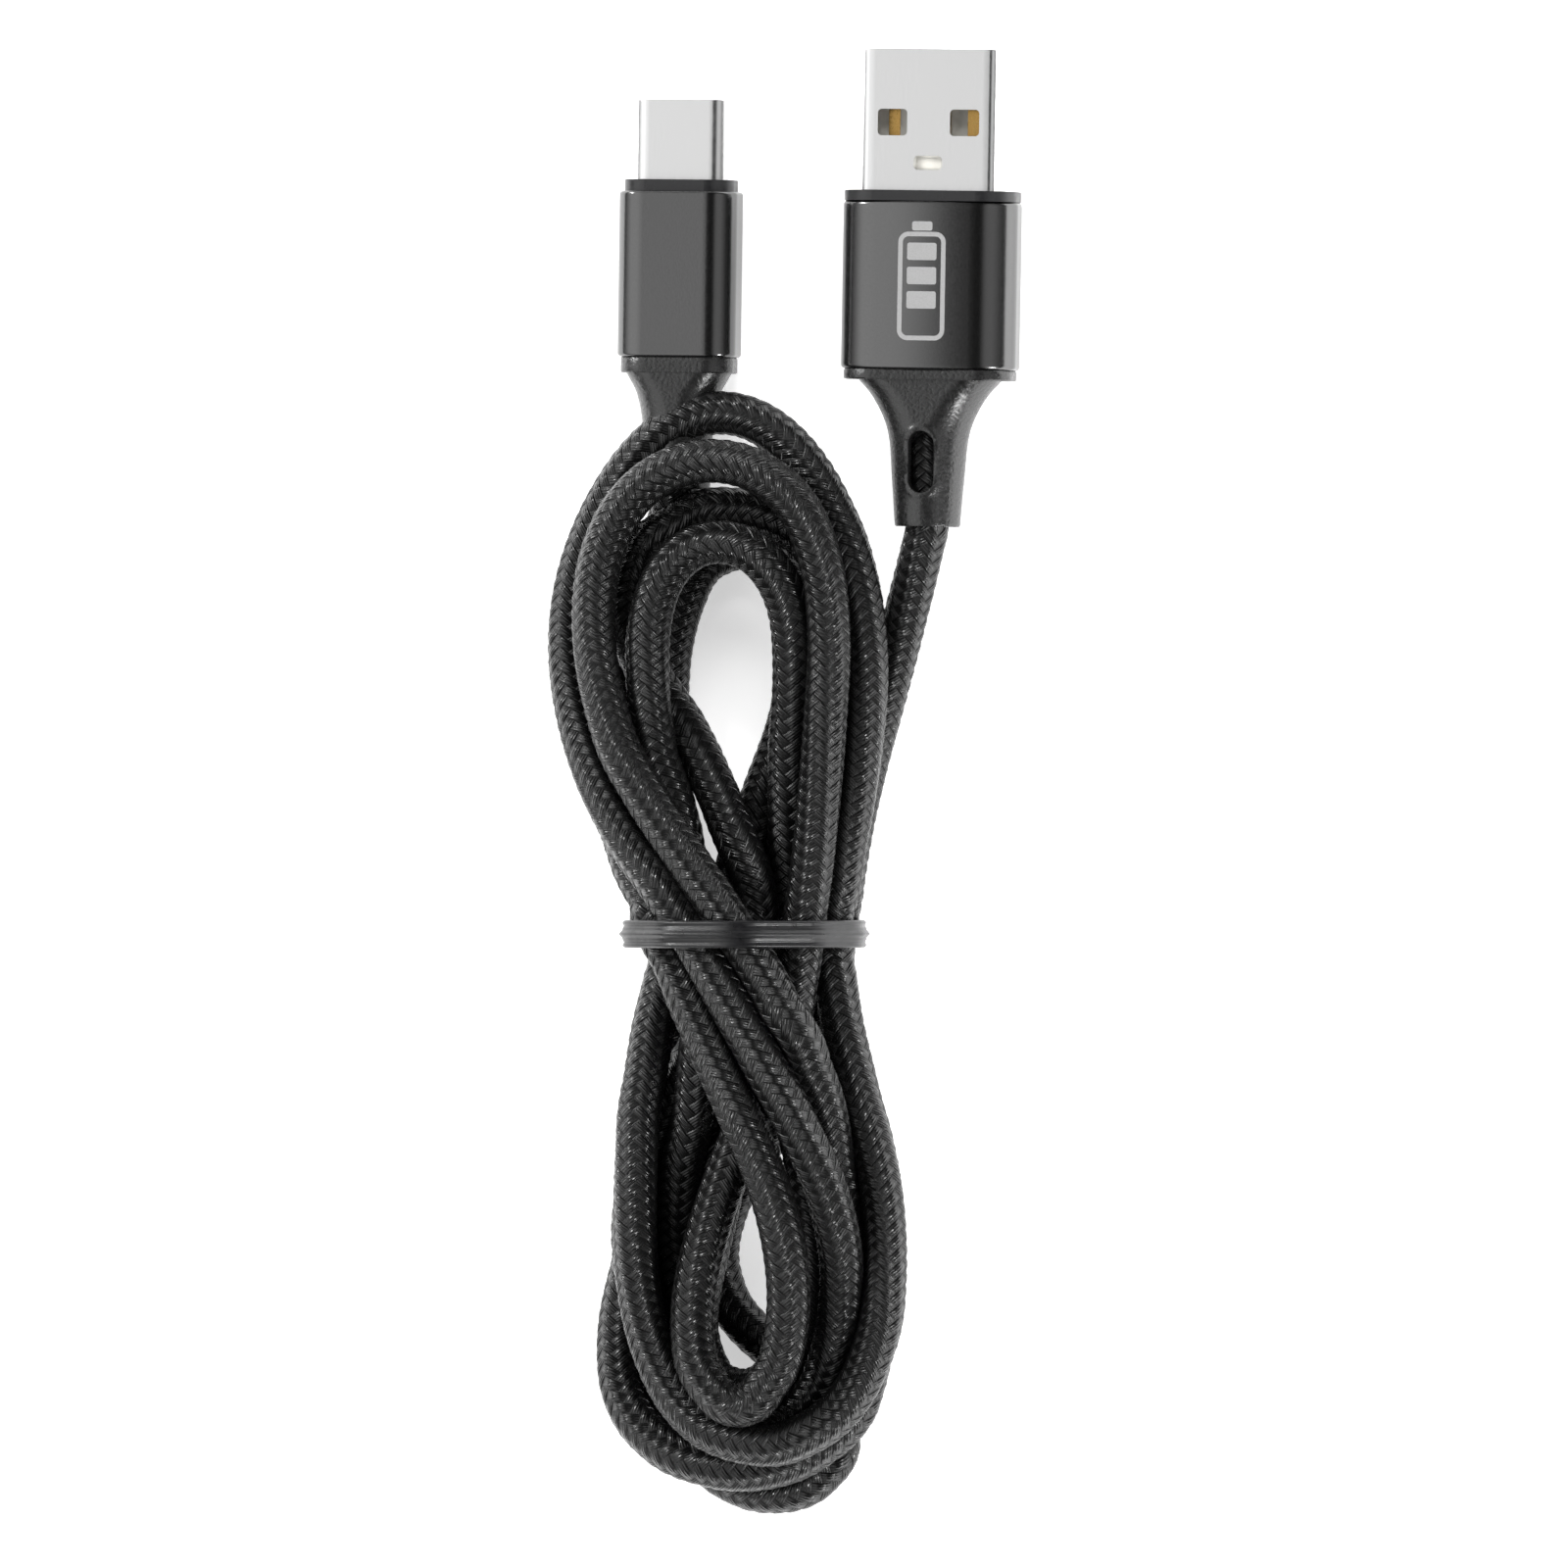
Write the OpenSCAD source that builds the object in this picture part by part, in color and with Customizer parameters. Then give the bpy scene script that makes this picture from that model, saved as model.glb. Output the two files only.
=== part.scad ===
// Braided charging cable with a USB-A plug and a USB-C plug, folded into a
// waisted hank and held by a twist tie. It lies flat: +Z is up, both plugs
// point along +Y, and z = 0 is the surface that it lies on.

/* [Cord] */
// Outside diameter of the braided cord
cord_d = 3.9; // [3.2:0.1:4.7]
// Diameter of one insulated conductor
wire_d = 0.9; // [0.7:0.05:1.1]

/* [Hank] */
// Y of the hank's upper end
hank_top_y = 34; // [33:0.5:35.5]
// Y of the hank's lower end
hank_bottom_y = -64; // [-90:1:-55]
// Width of the lobes at their widest
hank_w = 31; // [25:0.5:38]
// Height of the stack of strands
hank_h = 10.5; // [9.5:0.25:13]
// Width of the strands where the tie holds them
waist_w = 19; // [15:0.5:22]
// X of the waist's middle
waist_x = -3; // [-4:0.25:-2]
// Y of the waist's middle
waist_y = -13; // [-20:0.5:-8]
// How far the narrowing reaches along the hank from the tie
waist_reach = 14; // [10:0.5:18]
// How far the upper lobe swings to -X of the waist
upper_swing = 2.7; // [0:0.1:4]
// How far the lower lobe swings to +X of the waist
lower_swing = 0.6; // [0:0.1:3]

/* [Twist tie] */
// Width of the tie's flat sleeve
tie_w = 2.4; // [2:0.1:4]
// Thickness of the sleeve
tie_t = 1; // [0.8:0.05:1.3]
// Diameter of the steel core
tie_wire_d = 0.5; // [0.3:0.05:0.6]
// Length of the twisted ends
tie_tail = 8; // [5:0.5:14]
// Diameter of the twisted ends
tie_tail_d = 2; // [1.6:0.1:2.4]

/* [USB-A plug] */
// X of the middle of the mouth
a_x = 13.5; // [12:0.25:20]
// Y of the mouth
a_y = 63.7; // [58:0.1:70]
// Angle that the plug leans from +Y towards +X, in degrees
a_lean = 1; // [0:0.25:3]
// Shell width
a_shell_w = 12; // [11.5:0.1:12.5]
// Shell height
a_shell_t = 4.5; // [4.3:0.05:4.7]
// Sheet thickness of the shell
a_shell_wall = 0.3; // [0.25:0.01:0.35]
// Shell length in front of the collar
a_shell_out = 12.3; // [11.5:0.1:14]
// Shell length buried in the inner mould
a_shell_in = 6; // [5:0.25:7]
// Window size across the shell
a_window_w = 2.6; // [2:0.1:3]
// Window size along the shell
a_window_l = 2.3; // [1.8:0.1:2.6]
// Distance between the windows' middles
a_window_gap = 6.4; // [5.5:0.1:7]
// Distance from the mouth to the windows' middles
a_window_y = 6.4; // [5:0.1:7]
// Distance from the mouth to the pressed dimple's middle
a_dimple_y = 9.9; // [9.6:0.1:10.5]
// Dimple size across the shell
a_dimple_w = 2.6; // [2:0.1:3.4]
// Dimple size along the shell
a_dimple_l = 1.1; // [0.8:0.1:1.4]
// Housing width
a_housing_w = 15.5; // [15:0.1:18]
// Housing height
a_housing_t = 8; // [7.4:0.1:10]
// Housing length
a_housing_l = 14.6; // [13.5:0.1:20]
// Wall of the housing
a_housing_wall = 0.8; // [0.5:0.05:1]
// Length of the collar in front of the housing
a_collar_l = 0.9; // [0.5:0.1:1.5]
// Width of the relief where it leaves its foot
a_relief_w = 12.4; // [11:0.1:13.5]
// Diameter of the relief at its small end
a_relief_d = 5.7; // [5.4:0.1:6.5]
// Length of the relief
a_relief_l = 13.6; // [12.5:0.1:20]
// Slot width in the relief
a_slot_w = 2.3; // [1.5:0.1:2.6]
// Slot length in the relief
a_slot_l = 5.4; // [3:0.1:6]
// Distance from the relief's small end to the slot's middle
a_slot_y = 5.6; // [4.5:0.1:6]

/* [USB-C plug] */
// X of the middle of the mouth
c_x = -9.2; // [-12:0.1:-8]
// Y of the mouth
c_y = 59.5; // [58:0.1:66]
// Angle that the plug leans from +Y towards +X, in degrees
c_lean = 0.8; // [0:0.1:3]
// Shell width
c_shell_w = 8.25; // [8.2:0.01:8.3]
// Shell height
c_shell_t = 2.4; // [2.35:0.01:2.45]
// Sheet thickness of the shell
c_shell_wall = 0.25; // [0.2:0.01:0.28]
// Shell length in front of the collar
c_shell_out = 7; // [6.2:0.1:8]
// Shell length buried in the inner mould
c_shell_in = 3; // [2:0.1:4]
// Width of the slot for the mating tongue
c_mouth_w = 6.8; // [6.7:0.05:6.9]
// Height of the slot for the mating tongue
c_mouth_t = 0.9; // [0.8:0.05:0.95]
// Depth of the slot for the mating tongue
c_mouth_l = 5.8; // [5.2:0.1:6]
// Distance between neighbouring contacts
c_pitch = 0.5; // [0.48:0.01:0.52]
// Housing width
c_housing_w = 10.5; // [10.3:0.1:12.5]
// Housing height
c_housing_t = 6.5; // [6.2:0.1:8]
// Housing length
c_housing_l = 14.4; // [13:0.1:16]
// Wall of the housing
c_housing_wall = 0.7; // [0.5:0.05:0.8]
// Length of the collar in front of the housing
c_collar_l = 1; // [0.5:0.1:1.5]
// Length of the relief's foot
c_foot_l = 1.4; // [1:0.1:2]
// Diameter of the relief at its small end
c_relief_d = 5.7; // [5.4:0.1:6.2]
// Length of the relief
c_relief_l = 11.5; // [10:0.1:14]
// Thickness of the circuit board
board_t = 0.7; // [0.6:0.05:0.8]
// Length of the circuit board
board_l = 5; // [4.5:0.1:6]

/* [Hidden] */
eps = 0.01;

// Colours of the four insulated conductors: supply, data -, data +, ground
wire_colours = ["crimson", "white", "seagreen", "#202020"];

// USB-A plug, measured from its mouth towards the cord
a_z = a_housing_t / 2;
a_housing_r = 3.2;
a_front = a_shell_out + a_collar_l;
a_back = a_front + a_housing_l;
a_end = a_back + a_relief_l;
a_foot_l = 0.9;
a_stub_in = 3.2;
a_contact_t = 0.3;
a_contact_w = 1;
a_contact_top = 0.05;
a_contact_x = [-3.5, -1, 1, 3.5];
a_contact_front = [1.2, 2.2, 2.2, 1.2];
a_contact_back = a_shell_out + a_shell_in - 0.8;
a_tongue_w = a_shell_w - 2 * a_shell_wall - 0.3;
a_cavity_l = 9;
a_block_back = a_shell_out + 2.7;
a_press = 0.2;

// USB-C plug, measured from its mouth towards the cord
c_z = c_housing_t / 2;
c_housing_r = 2.6;
c_front = c_shell_out + c_collar_l;
c_back = c_front + c_housing_l;
c_end = c_back + c_relief_l;
c_stub_in = 2.9;
c_contact_t = 0.15;
c_contact_w = 0.25;
c_contact_front = 1;
c_contact_back = c_shell_out + 3.6;
c_block_back = c_shell_out + 2;
// Places used by a USB 2.0 cable, counted from 0 across the twelve of a row
c_upper_places = [0, 3, 4, 5, 6, 8, 11];
c_lower_places = [0, 3, 8, 11];
board_front = c_block_back;
board_w = c_shell_w - 2 * c_shell_wall - 0.6;
board_back = board_front + board_l;
c_wire_x = [-2.4, -0.8, 0.8, 2.4];

// Points along the cord's two uncoiled stretches, after each relief's end
lead_a_route = [[12.3, 20, 3.8], [11.5, 17.5, 3.4], [10.6, 15, 2.8], [9.8, 12, 2.3],
                [8.9, 9, 2], [8.1, 5, 2], [7, 2, 2], [6, -1, 2], [5.1, -5, 2]];
lead_c_route = [[-10.2, 23.5, 3], [-11.1, 21, 2.5], [-12, 18.5, 2.1], [-12.8, 16, 2],
                [-13.5, 13.5, 2]];
cord_sides = 8;
wire_gap = wire_d + 0.06;
// Length of each solder joint, and of each wire's end behind it
solder_l = 0.8;
// Height of the chamber that holds the soldered conductors in each inner mould
chamber_h = 3.2;

// ---- Small shapes ----

// Rectangle with rounded corners, centred; r may be half of the height
module rounded(w, t, r) {
  square([w - 2 * r, t], center = true);
  if (t > 2 * r) square([w, t - 2 * r], center = true);
  for (x = [-1, 1], y = [-1, 1])
    translate([x * (w / 2 - r), y * (t / 2 - r)]) circle(r, $fn = 48);
}

// Rounded bar that runs from y = -from to y = -to
module bar(w, t, r, from, to) {
  translate([0, -from, 0]) rotate([90, 0, 0]) linear_extrude(to - from) rounded(w, t, r);
}

// Square-cornered block from y = -from to y = -to, between two heights
module block(x, w, z0, z1, from, to) {
  translate([x - w / 2, -to, z0]) cube([w, to - from, z1 - z0]);
}

// Round rod along the plug's axis, from y = -from to y = -to
module axial(d, from, to) {
  translate([0, -from, 0]) rotate([90, 0, 0]) cylinder(d = d, h = to - from, $fn = 48);
}

// Slot with round ends, its length along Y, cut straight through in Z
module upright_slot(w, l, y, h) {
  translate([0, -y, 0]) linear_extrude(h, center = true) rotate(90) rounded(l, w, w / 2);
}

// ---- Swept cord ----

// Direction of the route at point i
function heading(p, i) =
  let (v = p[min(i + 1, len(p) - 1)] - p[max(i - 1, 0)]) v / norm(v);
// The same, with the directions of both ends given
function heading_at(p, i, first, last) =
  i == 0 ? first : i == len(p) - 1 ? last : heading(p, i);
// Point k of the ring round point i
function ring_point(p, i, k, d, ahead) =
  let (side = cross(ahead, [0, 0, 1]) / norm(cross(ahead, [0, 0, 1])),
       up = cross(side, ahead),
       angle = 360 * k / cord_sides)
  p[i] + d / 2 * (cos(angle) * side + sin(angle) * up);

// Tube along p that starts in the direction first and ends in the direction last
module tube(p, d, first, last) {
  n = len(p);
  points = [for (i = [0:n - 1], k = [0:cord_sides - 1])
            ring_point(p, i, k, d, heading_at(p, i, first, last))];
  walls = [for (i = [0:n - 2], k = [0:cord_sides - 1])
           let (a = i * cord_sides + k, b = i * cord_sides + (k + 1) % cord_sides)
           [a, a + cord_sides, b + cord_sides, b]];
  start = [for (k = [0:cord_sides - 1]) k];
  finish = [for (k = [cord_sides - 1:-1:0]) (n - 1) * cord_sides + k];
  polyhedron(points, concat(walls, [start], [finish]));
}

// ---- Placing a plug ----
module at_a() { translate([a_x, a_y, a_z]) rotate(-a_lean) children(); }
module at_c() { translate([c_x, c_y, c_z]) rotate(-c_lean) children(); }
function along(x, y, z, lean, back) = [x - back * sin(lean), y - back * cos(lean), z];
a_exit = along(a_x, a_y, a_z, a_lean, a_end);
c_exit = along(c_x, c_y, c_z, c_lean, c_end);

// ---- USB-A plug ----
module a_dimple(w, l, z0, z1) {
  translate([0, -a_dimple_y, z0]) linear_extrude(z1 - z0) rounded(w, l, 0.2);
}

module usb_a_shell() {
  top = a_shell_t / 2;
  color("gainsboro") at_a() difference() {
    union() {
      difference() {
        bar(a_shell_w, a_shell_t, 0.6, 0, a_shell_out + a_shell_in);
        bar(a_shell_w - 2 * a_shell_wall, a_shell_t - 2 * a_shell_wall, 0.3,
            -eps, a_shell_out + a_shell_in + eps);
      }
      a_dimple(a_dimple_w, a_dimple_l, top - a_shell_wall - a_press, top - a_shell_wall + eps);
    }
    a_dimple(a_dimple_w - 0.4, a_dimple_l - 0.4, top - a_press, top + 1);
    for (side = [-1, 1])
      translate([side * a_window_gap / 2, -a_window_y, 0])
        linear_extrude(2 * a_shell_t, center = true) rounded(a_window_w, a_window_l, 0.35);
  }
}

module a_contact(i) {
  block(a_contact_x[i], a_contact_w, a_contact_top - a_contact_t, a_contact_top,
        a_contact_front[i], a_contact_back);
}

module usb_a_insulator() {
  inner = a_shell_t / 2 - a_shell_wall;
  color("whitesmoke") at_a() difference() {
    union() {
      block(0, a_tongue_w, -inner, -0.05, 0.4, a_cavity_l);
      block(0, a_tongue_w, -inner, inner, a_cavity_l, a_block_back);
    }
    for (i = [0:3]) a_contact(i);
    a_dimple(a_dimple_w + 0.2, a_dimple_l + 0.2, inner - a_press, inner + eps);
  }
}

module usb_a_contact(i) { color("gold") at_a() a_contact(i); }

// One conductor, from its contact's tail to the end of the cord's jacket
module a_wire(i) {
  tail = [a_contact_x[i], solder_l - a_contact_back, a_contact_top + wire_d / 2];
  bend = [a_contact_x[i] * 0.9, tail.y - 2, tail.z];
  root = [(i - 1.5) * wire_gap, -a_back + a_stub_in, 0];
  tube([tail, bend, root], wire_d, [0, -1, 0], [0, -1, 0]);
}

module usb_a_wire(i) { color(wire_colours[i]) at_a() a_wire(i); }

// Solder in front of each wire's bared end, on its contact's tail
module usb_a_solder() {
  color("silver") at_a() for (x = a_contact_x)
    block(x, a_contact_w * 0.8, a_contact_top, a_contact_top + wire_d * 0.7,
          a_contact_back - 2 * solder_l, a_contact_back - solder_l);
}

module usb_a_inner_mould() {
  fit = 2 * a_housing_wall;
  color("#262626") at_a() difference() {
    union() {
      bar(a_housing_w - 0.3, a_housing_t - 0.4, a_housing_r - 0.2, a_shell_out, a_front);
      bar(a_housing_w - fit, a_housing_t - fit, a_housing_r - a_housing_wall,
          a_front, a_back);
    }
    bar(a_shell_w, a_shell_t, 0.6, a_shell_out - eps, a_shell_out + a_shell_in);
    block(0, a_shell_w - 2, -chamber_h / 2, chamber_h / 2,
          a_shell_out + a_shell_in - eps, a_back - a_stub_in);
    axial(cord_d, a_back - a_stub_in - eps, a_back + eps);
  }
}

module usb_a_housing() {
  fit = 2 * a_housing_wall;
  color("#303030") at_a() difference() {
    bar(a_housing_w, a_housing_t, a_housing_r, a_front, a_back);
    bar(a_housing_w - fit, a_housing_t - fit, a_housing_r - a_housing_wall,
        a_front - eps, a_back + eps);
  }
}

// Distance behind the housing, width and height of the relief's cross-sections
a_relief_sections = [
  [a_foot_l, a_relief_w, a_housing_t * 0.84],
  [a_foot_l + 1.6, a_relief_w - 2.6, a_housing_t * 0.8],
  [a_foot_l + 4.4, a_relief_d + 1.4, a_housing_t * 0.8],
  [a_relief_l - 4, a_relief_d + 0.6, a_relief_d + 0.6],
  [a_relief_l, a_relief_d, a_relief_d]];

// Skin over neighbouring cross-sections, each a thin rounded plate
module flare(sections, back) {
  for (i = [0:len(sections) - 2]) hull() {
    for (s = [sections[i], sections[i + 1]])
      bar(s[1], s[2], s[2] * 0.45, back + s[0] - eps, back + s[0]);
  }
}

module usb_a_strain_relief() {
  color("#1c1c1c") at_a() difference() {
    union() {
      bar(a_housing_w - 0.6, a_housing_t - 0.6, a_housing_r - 0.3, a_back, a_back + a_foot_l);
      flare(a_relief_sections, a_back);
    }
    axial(cord_d, a_back - eps, a_end + eps);
    upright_slot(a_slot_w, a_slot_l, a_end - a_slot_y, 2 * a_housing_t);
  }
}

// ---- USB-C plug ----
module usb_c_shell() {
  color("gainsboro") at_c() difference() {
    bar(c_shell_w, c_shell_t, c_shell_t / 2, 0, c_shell_out + c_shell_in);
    bar(c_shell_w - 2 * c_shell_wall, c_shell_t - 2 * c_shell_wall,
        c_shell_t / 2 - c_shell_wall, -eps, c_shell_out + c_shell_in + eps);
  }
}

// One row of contacts; up is 1 above the board and -1 below it
module c_contacts(places, up) {
  low = board_t / 2;
  for (place = places)
    block((place - 5.5) * c_pitch, c_contact_w,
          up > 0 ? low : -low - c_contact_t, up > 0 ? low + c_contact_t : -low,
          c_contact_front, c_contact_back);
}

// Side arms that snap into the socket's tongue, joined by a plate at the back
module c_latch() {
  reach = c_mouth_w / 2 + 0.25;
  for (side = [-1, 1])
    block(side * (reach - 0.15), 0.3, -0.1, 0.1, 1.6, c_mouth_l + 1.5);
  block(0, 2 * reach, -0.1, 0.1, c_mouth_l + 0.5, c_mouth_l + 1.5);
}

// Sprung strips that earth the shell, one above and one below
module c_ground_springs() {
  inner = c_shell_t / 2 - c_shell_wall;
  for (side = [-1, 1])
    translate([0, 0, side * (inner - 0.06)]) block(0, 4.6, -0.06, 0.06, 1.4, 3.2);
}

module usb_c_insulator() {
  color("#2a2a2a") at_c() difference() {
    bar(c_shell_w - 2 * c_shell_wall, c_shell_t - 2 * c_shell_wall,
        c_shell_t / 2 - c_shell_wall, 0.3, c_block_back);
    block(0, c_mouth_w, -c_mouth_t / 2, c_mouth_t / 2, 0, c_mouth_l);
    c_contacts(c_upper_places, 1);
    c_contacts(c_lower_places, -1);
    c_latch();
    c_ground_springs();
  }
}

module usb_c_upper_contacts() { color("gold") at_c() c_contacts(c_upper_places, 1); }
module usb_c_lower_contacts() { color("gold") at_c() c_contacts(c_lower_places, -1); }
module usb_c_latch() { color("silver") at_c() c_latch(); }
module usb_c_ground_springs() { color("silver") at_c() c_ground_springs(); }

module c_board() {
  block(0, board_w, -board_t / 2, board_t / 2, board_front, board_back);
}
module usb_c_board() { color("darkgreen") at_c() c_board(); }

// Pull-up resistor between the supply and the configuration contact
module c_resistor() {
  block(-2.6, 0.5, -board_t / 2 - 0.35, -board_t / 2, board_front + 2.2, board_front + 3.2);
}
module usb_c_resistor() { color("#202020") at_c() c_resistor(); }

module c_wire(i) {
  tail = [c_wire_x[i], solder_l - board_back, board_t / 2 + wire_d / 2];
  bend = [c_wire_x[i] * 0.9, tail.y - 1.6, tail.z];
  root = [(i - 1.5) * wire_gap, -c_back + c_stub_in, 0];
  tube([tail, bend, root], wire_d, [0, -1, 0], [0, -1, 0]);
}
module usb_c_wire(i) { color(wire_colours[i]) at_c() c_wire(i); }

module usb_c_solder() {
  color("silver") at_c() for (x = c_wire_x)
    block(x, 0.9, board_t / 2, board_t / 2 + wire_d * 0.7,
          board_back - 2 * solder_l, board_back - solder_l);
}

module usb_c_inner_mould() {
  fit = 2 * c_housing_wall;
  color("#262626") at_c() difference() {
    union() {
      bar(c_housing_w - 0.8, c_housing_t - 0.8, c_housing_r - 0.4, c_shell_out, c_front);
      bar(c_housing_w - fit, c_housing_t - fit, c_housing_r - c_housing_wall,
          c_front, c_back);
    }
    bar(c_shell_w, c_shell_t, c_shell_t / 2, c_shell_out - eps, c_shell_out + c_shell_in);
    block(0, board_w, -chamber_h / 2, chamber_h / 2,
          c_shell_out + c_shell_in - eps, c_back - c_stub_in);
    axial(cord_d, c_back - c_stub_in - eps, c_back + eps);
  }
}

module usb_c_housing() {
  fit = 2 * c_housing_wall;
  color("#303030") at_c() difference() {
    bar(c_housing_w, c_housing_t, c_housing_r, c_front, c_back);
    bar(c_housing_w - fit, c_housing_t - fit, c_housing_r - c_housing_wall,
        c_front - eps, c_back + eps);
  }
}

// Distance behind the housing, width and height of the relief's cross-sections
c_relief_sections = [
  [c_foot_l, c_housing_w - 1.4, c_housing_t * 0.92],
  [c_foot_l + 1.8, c_relief_d + 1.6, c_housing_t * 0.9],
  [c_foot_l + 4.6, c_relief_d + 0.5, c_relief_d + 0.3],
  [c_relief_l, c_relief_d, c_relief_d]];

module usb_c_strain_relief() {
  color("#1c1c1c") at_c() difference() {
    union() {
      bar(c_housing_w - 0.5, c_housing_t - 0.4, c_housing_r - 0.2, c_back, c_back + c_foot_l);
      flare(c_relief_sections, c_back);
    }
    axial(cord_d, c_back - eps, c_end + eps);
  }
}

// ---- Cord ----
module cord_end_a() { color("#151515") at_a() axial(cord_d, a_back - a_stub_in, a_end); }
module cord_end_c() { color("#151515") at_c() axial(cord_d, c_back - c_stub_in, c_end); }

module lead(start, lean, route) {
  tube(concat([start], route), cord_d, [-sin(lean), -cos(lean), 0],
       heading(route, len(route) - 1));
}
module cord_lead_a() { color("#151515") lead(a_exit, a_lean, lead_a_route); }
module cord_lead_c() { color("#151515") lead(c_exit, c_lean, lead_c_route); }

// Width of the channel in the hank that the USB-C relief and its lead lie in
c_channel_w = c_relief_d + 2.8;

// Outline of the hank: two round-ended lobes that narrow towards the tie
hank_steps = 48;
hank_mid_y = (hank_top_y + hank_bottom_y) / 2;
hank_half_l = (hank_top_y - hank_bottom_y) / 2;
function pinch(y) = exp(-pow((y - waist_y) / waist_reach, 2));
function half_width(y) =
  hank_w / 2 * pow(max(0, 1 - pow(abs(y - hank_mid_y) / hank_half_l, 3.4)), 0.45)
  - (hank_w - waist_w) / 2 * pinch(y);
function middle_x(y) =
  waist_x + (y > waist_y ? -upper_swing : lower_swing) * (1 - pinch(y));
// Y of each step, closer together towards both ends
function step_y(i) = hank_mid_y - hank_half_l * cos(180 * i / hank_steps);
hank_right = [for (i = [1:hank_steps - 1])
              [middle_x(step_y(i)) + half_width(step_y(i)), step_y(i)]];
hank_left = [for (i = [hank_steps - 1:-1:1])
             [middle_x(step_y(i)) - half_width(step_y(i)), step_y(i)]];

module hank_block() {
  linear_extrude(hank_h) polygon(concat(hank_right, hank_left));
}

// Flat loop of the tie, seen along Y; inset makes the path of its core
module tie_loop(inset) {
  w = waist_w + 2 * tie_t - 2 * inset;
  h = hank_h + tie_t - 2 * inset;
  translate([waist_x, hank_h / 2 + tie_t / 2]) rounded(w, h, 1.2 - inset);
}

// Ends twisted together under the hank and laid along it
module tie_ends(d, from) {
  translate([waist_x, waist_y - from, tie_tail_d / 2]) rotate([90, 0, 0])
    cylinder(d = d, h = tie_tail, $fn = 32);
}

// Channel under the hank whose end wall meets the end of a lead squarely.
// It is open upwards to h, and reaches left and right of the lead's end.
module lead_channel(route, left, right, l, h) {
  tip = route[len(route) - 1];
  v = heading(route, len(route) - 1);
  translate([tip.x, tip.y, -eps]) rotate(atan2(v.y, v.x) + 90)
    translate([-left, 0, 0]) cube([left + right, l, h + eps]);
}

module cord_hank() {
  color("#151515") difference() {
    hank_block();
    lead_channel(lead_a_route, cord_d / 2 + 0.3, hank_w, 30, cord_d + 1);
    lead_channel(lead_c_route, c_channel_w / 2, c_channel_w / 2, 60, c_housing_t);
    translate([waist_x - waist_w, waist_y - tie_w / 2, -eps])
      cube([2 * waist_w, tie_w, tie_t + eps]);
    translate([waist_x - tie_tail_d / 2, waist_y - tie_w / 2 - tie_tail, -eps])
      cube([tie_tail_d, tie_tail + eps, tie_tail_d + eps]);
  }
}

// ---- Twist tie ----
module tie_core() {
  translate([0, waist_y + tie_wire_d / 2, 0]) rotate([90, 0, 0])
    linear_extrude(tie_wire_d) difference() {
      tie_loop((tie_t - tie_wire_d) / 2);
      tie_loop((tie_t + tie_wire_d) / 2);
    }
}

module tie_sleeve() {
  color("#0e0e0e") difference() {
    union() {
      translate([0, waist_y + tie_w / 2, 0]) rotate([90, 0, 0])
        linear_extrude(tie_w) tie_loop(0);
      tie_ends(tie_tail_d, tie_w / 2 - eps);
    }
    difference() {
      hank_block();
      translate([waist_x - waist_w, waist_y - tie_w, -eps])
        cube([2 * waist_w, 2 * tie_w, tie_t + eps]);
      translate([waist_x - tie_tail_d / 2, waist_y - tie_w - tie_tail - 1, -eps])
        cube([tie_tail_d, tie_tail + tie_w, tie_tail_d + eps]);
    }
    tie_core();
  }
}

module tie_wire() { color("lightgray") tie_core(); }

// ---- Assembly ----
usb_a_shell();
usb_a_insulator();
for (i = [1:4]) {
  usb_a_contact(i - 1);
  usb_a_wire(i - 1);
  usb_c_wire(i - 1);
}
usb_a_solder();
usb_a_inner_mould();
usb_a_housing();
usb_a_strain_relief();
usb_c_shell();
usb_c_insulator();
usb_c_upper_contacts();
usb_c_lower_contacts();
usb_c_latch();
usb_c_ground_springs();
usb_c_board();
usb_c_resistor();
usb_c_solder();
usb_c_inner_mould();
usb_c_housing();
usb_c_strain_relief();
cord_end_a();
cord_lead_a();
cord_hank();
cord_lead_c();
cord_end_c();
tie_sleeve();
tie_wire();
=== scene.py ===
"""Looks of a braided charging cable with a USB-A and a USB-C plug, folded into a hank under a twist tie.

Lengths are in millimetres, as on a drawing, and become metres where a mesh is made.
"""
import math

import bpy
import numpy as np
from mathutils import Matrix, Vector


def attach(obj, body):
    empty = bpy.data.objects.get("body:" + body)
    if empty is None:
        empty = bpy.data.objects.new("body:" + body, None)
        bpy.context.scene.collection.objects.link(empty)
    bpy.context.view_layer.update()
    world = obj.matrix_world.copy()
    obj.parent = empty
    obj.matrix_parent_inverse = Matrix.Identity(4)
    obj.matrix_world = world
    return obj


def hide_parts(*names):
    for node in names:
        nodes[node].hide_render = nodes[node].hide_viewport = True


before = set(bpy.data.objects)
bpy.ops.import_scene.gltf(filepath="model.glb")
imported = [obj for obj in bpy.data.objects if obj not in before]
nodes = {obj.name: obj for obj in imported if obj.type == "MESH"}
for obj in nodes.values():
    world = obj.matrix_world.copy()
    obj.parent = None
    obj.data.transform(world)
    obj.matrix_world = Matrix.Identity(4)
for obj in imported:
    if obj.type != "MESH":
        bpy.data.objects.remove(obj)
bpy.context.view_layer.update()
MM = 0.001

# ---- Sizes, in mm ----
CORD_D = 3.9
CORD_R = CORD_D / 2
LAYER = 3.6  # rise from one layer of strands to the next
STEP = 1.95  # spacing of the points that the strands are settled with
TIGHTEST = 4.6  # bends with a smaller radius than this are eased, and some stay smaller

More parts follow.
